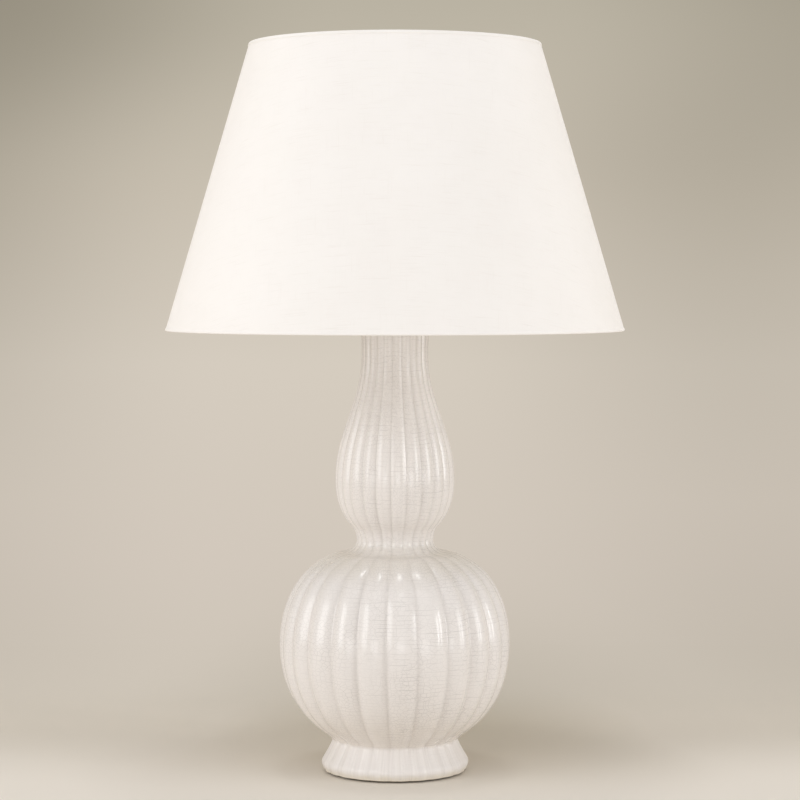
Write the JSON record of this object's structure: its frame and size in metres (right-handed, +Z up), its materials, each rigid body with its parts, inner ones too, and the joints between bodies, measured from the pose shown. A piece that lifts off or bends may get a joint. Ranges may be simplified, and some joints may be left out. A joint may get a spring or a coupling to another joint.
{
  "type": "table lamp",
  "caption": "Fluted double gourd table lamp in crazed white glaze, with a harp, a switched lamp holder, a bulb and a tapered white fabric shade under a finial.",
  "frame": {"origin": "centre of the felt under the foot, on the surface that the lamp stands on", "axes": "+Z up along the lamp's axis, -Y towards the front, +Y towards the flex hole in the foot, +X to the right seen from the front"},
  "size_m": [0.4583, 0.4584, 0.7281],
  "materials": {
    "glaze": "gloss, crazed",
    "felt": "felt",
    "grommet_rubber": "satin",
    "gasket_rubber": "matte",
    "zinc_steel": "zinc plated",
    "brass_plate": "satin",
    "fibre_card": "matte",
    "moulded_black": "matte",
    "knob_black": "gloss",
    "aluminium": "rolled",
    "solder": "dull",
    "bulb_insulator": "gloss",
    "frosted_glass": "frosted",
    "stem_glass": "clear",
    "filament": "drawn",
    "shade_cloth": "fine weave",
    "shade_backing": "satin",
    "white_wire": "satin"
  },
  "bodies": {
    "root": {"felt_pad": "felt", "gourd_body": "glaze", "cord_grommet": "grommet_rubber", "lamp_pipe": "zinc_steel", "base_gasket": "gasket_rubber", "base_plate": "zinc_steel", "lock_washer": "zinc_steel", "base_nut": "zinc_steel", "neck_gasket": "gasket_rubber", "neck_cap": "brass_plate", "check_ring": "brass_plate", "neck_spacer": "brass_plate", "harp_saddle": "brass_plate", "socket_cap": "brass_plate", "set_screw": "zinc_steel", "socket_shell": "brass_plate", "socket_liner": "fibre_card", "socket_core": "moulded_black", "terminal_screw_silver": "zinc_steel", "terminal_screw_brass": "brass_plate", "screw_shell": "aluminium", "centre_contact": "brass_plate"},
    "switch": {"switch_shaft": "brass_plate", "switch_knob": "knob_black"},
    "bulb": {"bulb_tip": "solder", "bulb_insulator": "bulb_insulator", "bulb_cap": "aluminium", "bulb_glass": "frosted_glass", "bulb_stem": "stem_glass", "bulb_filament": "filament"},
    "harp": {"harp": "brass_plate"},
    "ferrule_left": {"harp_ferrule_left": "brass_plate"},
    "ferrule_right": {"harp_ferrule_right": "brass_plate"},
    "stud": {"harp_stud": "brass_plate"},
    "shade": {"shade_fabric": "shade_cloth", "shade_backing": "shade_backing", "bottom_ring": "white_wire", "shade_fitter": "white_wire", "top_hem": "shade_cloth", "bottom_hem": "shade_cloth"},
    "finial": {"finial": "brass_plate"}
  },
  "joints": [
    {"name": "knob_turn", "type": "hinge", "parent": "root", "child": "switch", "pos_m": [0, -0.028, 0.5064], "axis": [0, -1, 0], "continuous": true},
    {"name": "bulb_unscrew", "type": "slide", "parent": "root", "child": "bulb", "axis": [0, 0, 1], "range_m": [0, 0.035]},
    {"name": "harp_lift", "type": "slide", "parent": "root", "child": "harp", "axis": [0, 0, 1], "range_m": [0, 0.03]},
    {"name": "ferrule_left_slide", "type": "slide", "parent": "harp", "child": "ferrule_left", "axis": [0, 0, 1], "range_m": [0, 0.014]},
    {"name": "ferrule_right_slide", "type": "slide", "parent": "harp", "child": "ferrule_right", "axis": [0, 0, 1], "range_m": [0, 0.014]},
    {"name": "stud_swivel", "type": "hinge", "parent": "harp", "child": "stud", "pos_m": [0, 0, 0.705], "axis": [0, 0, 1], "continuous": true},
    {"name": "shade_lift", "type": "slide", "parent": "stud", "child": "shade", "axis": [0, 0, 1], "range_m": [0, 0.3]},
    {"name": "finial_unscrew", "type": "slide", "parent": "shade", "child": "finial", "axis": [0, 0, 1], "range_m": [0, 0.03]}
  ]
}
